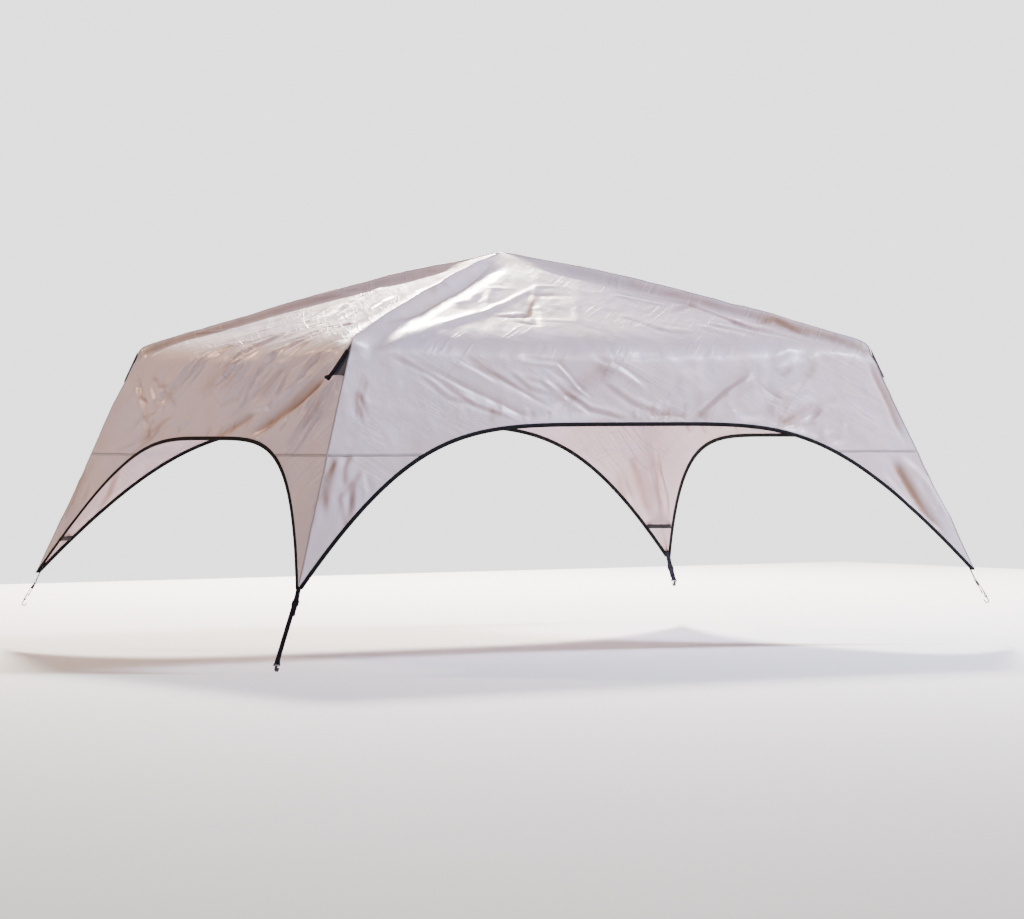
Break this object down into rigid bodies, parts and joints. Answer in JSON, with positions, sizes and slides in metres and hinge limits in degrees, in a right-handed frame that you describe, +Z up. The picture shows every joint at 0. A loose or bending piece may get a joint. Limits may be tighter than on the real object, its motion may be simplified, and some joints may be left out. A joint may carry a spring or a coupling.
{
  "type": "tarp shelter canopy",
  "caption": "Four-legged fabric canopy for a pole frame: hipped roof, arched walls with taped hems, and a webbing strap, ladder-lock and hook at each leg.",
  "frame": {"origin": "where the frame's hub bears, at the underside of the patch at the peak", "axes": "+Z up, +X along the long side, to the right seen from the front, -Y to the front"},
  "size_m": [4.204, 2.8879, 2.0017],
  "materials": {
    "canopy_cloth": "satin",
    "patch_cloth": "matte",
    "hem_tape": "matte",
    "webbing": "matte",
    "fin_cloth": "satin",
    "touch_tape": "matte",
    "black_plastic": "satin"
  },
  "bodies": {
    "canopy": {"panel_front": "canopy_cloth", "panel_right": "canopy_cloth", "panel_back": "canopy_cloth", "panel_left": "canopy_cloth", "hem_tape_front": "hem_tape", "hem_tape_right": "hem_tape", "hem_tape_back": "hem_tape", "hem_tape_left": "hem_tape", "leg_front_left_left_half": "canopy_cloth", "leg_front_left_front_half": "canopy_cloth", "leg_front_right_front_half": "canopy_cloth", "leg_front_right_right_half": "canopy_cloth", "leg_back_right_right_half": "canopy_cloth", "leg_back_right_back_half": "canopy_cloth", "leg_back_left_back_half": "canopy_cloth", "leg_back_left_left_half": "canopy_cloth", "peak_patch": "patch_cloth", "shoulder_patch_front_left": "patch_cloth", "tip_tab_front_left": "webbing", "shoulder_patch_front_right": "patch_cloth", "tip_tab_front_right": "webbing", "shoulder_patch_back_right": "patch_cloth", "tip_tab_back_right": "webbing", "shoulder_patch_back_left": "patch_cloth", "tip_tab_back_left": "webbing"},
    "lock_front_left": {"lock_front_left": "black_plastic"},
    "strap_front_left": {"strap_front_left": "webbing"},
    "tail_front_left": {"tail_front_left": "webbing"},
    "hook_front_left": {"hook_front_left": "black_plastic"},
    "fin_front_left": {"guy_fin_front_left": "fin_cloth", "guy_web_front_left": "webbing"},
    "tie_hook_front_left": {"tie_hook_front_left": "touch_tape"},
    "tie_loop_front_left": {"tie_loop_front_left": "touch_tape"},
    "lock_front_right": {"lock_front_right": "black_plastic"},
    "strap_front_right": {"strap_front_right": "webbing"},
    "tail_front_right": {"tail_front_right": "webbing"},
    "hook_front_right": {"hook_front_right": "black_plastic"},
    "fin_front_right": {"guy_fin_front_right": "fin_cloth", "guy_web_front_right": "webbing"},
    "tie_hook_front_right": {"tie_hook_front_right": "touch_tape"},
    "tie_loop_front_right": {"tie_loop_front_right": "touch_tape"},
    "lock_back_right": {"lock_back_right": "black_plastic"},
    "strap_back_right": {"strap_back_right": "webbing"},
    "tail_back_right": {"tail_back_right": "webbing"},
    "hook_back_right": {"hook_back_right": "black_plastic"},
    "fin_back_right": {"guy_fin_back_right": "fin_cloth", "guy_web_back_right": "webbing"},
    "tie_hook_back_right": {"tie_hook_back_right": "touch_tape"},
    "tie_loop_back_right": {"tie_loop_back_right": "touch_tape"},
    "lock_back_left": {"lock_back_left": "black_plastic"},
    "strap_back_left": {"strap_back_left": "webbing"},
    "tail_back_left": {"tail_back_left": "webbing"},
    "hook_back_left": {"hook_back_left": "black_plastic"},
    "fin_back_left": {"guy_fin_back_left": "fin_cloth", "guy_web_back_left": "webbing"},
    "tie_hook_back_left": {"tie_hook_back_left": "touch_tape"},
    "tie_loop_back_left": {"tie_loop_back_left": "touch_tape"}
  },
  "joints": [
    {"name": "lock_swing_front_left", "type": "hinge", "parent": "canopy", "child": "lock_front_left", "pos_m": [-1.98542, -1.36395, -1.68663], "axis": [0.5266, -0.8501, 0], "range_deg": [-60, 60]},
    {"name": "strap_adjust_front_left", "type": "slide", "parent": "lock_front_left", "child": "strap_front_left", "axis": [-0.463, -0.2868, -0.8387], "range_m": [-0.13, 0.04], "deforming": ["strap_front_left"]},
    {"name": "tail_slip_front_left", "type": "slide", "parent": "lock_front_left", "child": "tail_front_left", "axis": [-0.463, -0.2868, -0.8387], "range_m": [-0.04, 0.13], "deforming": ["tail_front_left"]},
    {"name": "hook_swing_front_left", "type": "hinge", "parent": "strap_front_left", "child": "hook_front_left", "pos_m": [-2.13821, -1.4586, -1.96339], "axis": [0.5266, -0.8501, 0], "range_deg": [-70, 70]},
    {"name": "fin_swing_front_left", "type": "hinge", "parent": "canopy", "child": "fin_front_left", "pos_m": [-1.52808, -1.09096, -0.4993], "axis": [0.3608, 0.2235, 0.9055], "range_deg": [0, 225]},
    {"name": "tie_hook_peel_front_left", "type": "hinge", "parent": "canopy", "child": "tie_hook_front_left", "pos_m": [-1.79944, -1.31818, -1.4583], "axis": [-0.3608, -0.2235, -0.9055], "range_deg": [0, 100]},
    {"name": "tie_loop_peel_front_left", "type": "hinge", "parent": "canopy", "child": "tie_loop_front_left", "pos_m": [-1.90201, -1.23486, -1.4583], "axis": [-0.3608, -0.2235, -0.9055], "range_deg": [0, 28]},
    {"name": "lock_swing_front_right", "type": "hinge", "parent": "canopy", "child": "lock_front_right", "pos_m": [1.98542, -1.36395, -1.68663], "axis": [0.5266, 0.8501, 0], "range_deg": [-60, 60]},
    {"name": "strap_adjust_front_right", "type": "slide", "parent": "lock_front_right", "child": "strap_front_right", "axis": [0.463, -0.2868, -0.8387], "range_m": [-0.016, 0.04], "deforming": ["strap_front_right"]},
    {"name": "tail_slip_front_right", "type": "slide", "parent": "lock_front_right", "child": "tail_front_right", "axis": [0.463, -0.2868, -0.8387], "range_m": [-0.04, 0.016], "deforming": ["tail_front_right"]},
    {"name": "hook_swing_front_right", "type": "hinge", "parent": "strap_front_right", "child": "hook_front_right", "pos_m": [2.02987, -1.39149, -1.76714], "axis": [0.5266, 0.8501, 0], "range_deg": [-70, 70]},
    {"name": "fin_swing_front_right", "type": "hinge", "parent": "canopy", "child": "fin_front_right", "pos_m": [1.52808, -1.09096, -0.4993], "axis": [0.3608, -0.2235, -0.9055], "range_deg": [0, 225]},
    {"name": "tie_hook_peel_front_right", "type": "hinge", "parent": "canopy", "child": "tie_hook_front_right", "pos_m": [1.90072, -1.23333, -1.4583], "axis": [0.3608, -0.2235, -0.9055], "range_deg": [0, 100]},
    {"name": "tie_loop_peel_front_right", "type": "hinge", "parent": "canopy", "child": "tie_loop_front_right", "pos_m": [1.80072, -1.31971, -1.4583], "axis": [0.3608, -0.2235, -0.9055], "range_deg": [0, 28]},
    {"name": "lock_swing_back_right", "type": "hinge", "parent": "canopy", "child": "lock_back_right", "pos_m": [1.98542, 1.36395, -1.68663], "axis": [-0.5266, 0.8501, 0], "range_deg": [-60, 60]},
    {"name": "strap_adjust_back_right", "type": "slide", "parent": "lock_back_right", "child": "strap_back_right", "axis": [0.463, 0.2868, -0.8387], "range_m": [-0.016, 0.04], "deforming": ["strap_back_right"]},
    {"name": "tail_slip_back_right", "type": "slide", "parent": "lock_back_right", "child": "tail_back_right", "axis": [0.463, 0.2868, -0.8387], "range_m": [-0.04, 0.016], "deforming": ["tail_back_right"]},
    {"name": "hook_swing_back_right", "type": "hinge", "parent": "strap_back_right", "child": "hook_back_right", "pos_m": [2.02987, 1.39149, -1.76714], "axis": [-0.5266, 0.8501, 0], "range_deg": [-70, 70]},
    {"name": "fin_swing_back_right", "type": "hinge", "parent": "canopy", "child": "fin_back_right", "pos_m": [1.52808, 1.09096, -0.4993], "axis": [0.3608, 0.2235, -0.9055], "range_deg": [0, 225]},
    {"name": "tie_hook_peel_back_right", "type": "hinge", "parent": "canopy", "child": "tie_hook_back_right", "pos_m": [1.79944, 1.31818, -1.4583], "axis": [0.3608, 0.2235, -0.9055], "range_deg": [0, 100]},
    {"name": "tie_loop_peel_back_right", "type": "hinge", "parent": "canopy", "child": "tie_loop_back_right", "pos_m": [1.90201, 1.23486, -1.4583], "axis": [0.3608, 0.2235, -0.9055], "range_deg": [0, 28]},
    {"name": "lock_swing_back_left", "type": "hinge", "parent": "canopy", "child": "lock_back_left", "pos_m": [-1.98542, 1.36395, -1.68663], "axis": [-0.5266, -0.8501, 0], "range_deg": [-60, 60]},
    {"name": "strap_adjust_back_left", "type": "slide", "parent": "lock_back_left", "child": "strap_back_left", "axis": [-0.463, 0.2868, -0.8387], "range_m": [-0.016, 0.04], "deforming": ["strap_back_left"]},
    {"name": "tail_slip_back_left", "type": "slide", "parent": "lock_back_left", "child": "tail_back_left", "axis": [-0.463, 0.2868, -0.8387], "range_m": [-0.04, 0.016], "deforming": ["tail_back_left"]},
    {"name": "hook_swing_back_left", "type": "hinge", "parent": "strap_back_left", "child": "hook_back_left", "pos_m": [-2.02987, 1.39149, -1.76714], "axis": [-0.5266, -0.8501, 0], "range_deg": [-70, 70]},
    {"name": "fin_swing_back_left", "type": "hinge", "parent": "canopy", "child": "fin_back_left", "pos_m": [-1.52808, 1.09096, -0.4993], "axis": [0.3608, -0.2235, 0.9055], "range_deg": [0, 225]},
    {"name": "tie_hook_peel_back_left", "type": "hinge", "parent": "canopy", "child": "tie_hook_back_left", "pos_m": [-1.90072, 1.23333, -1.4583], "axis": [-0.3608, 0.2235, -0.9055], "range_deg": [0, 100]},
    {"name": "tie_loop_peel_back_left", "type": "hinge", "parent": "canopy", "child": "tie_loop_back_left", "pos_m": [-1.80072, 1.31971, -1.4583], "axis": [-0.3608, 0.2235, -0.9055], "range_deg": [0, 28]}
  ],
  "couplings": [
    {"joint": "tail_slip_front_left", "follows": "strap_adjust_front_left", "ratio": -1},
    {"joint": "tail_slip_front_right", "follows": "strap_adjust_front_right", "ratio": -1},
    {"joint": "tail_slip_back_right", "follows": "strap_adjust_back_right", "ratio": -1},
    {"joint": "tail_slip_back_left", "follows": "strap_adjust_back_left", "ratio": -1}
  ]
}
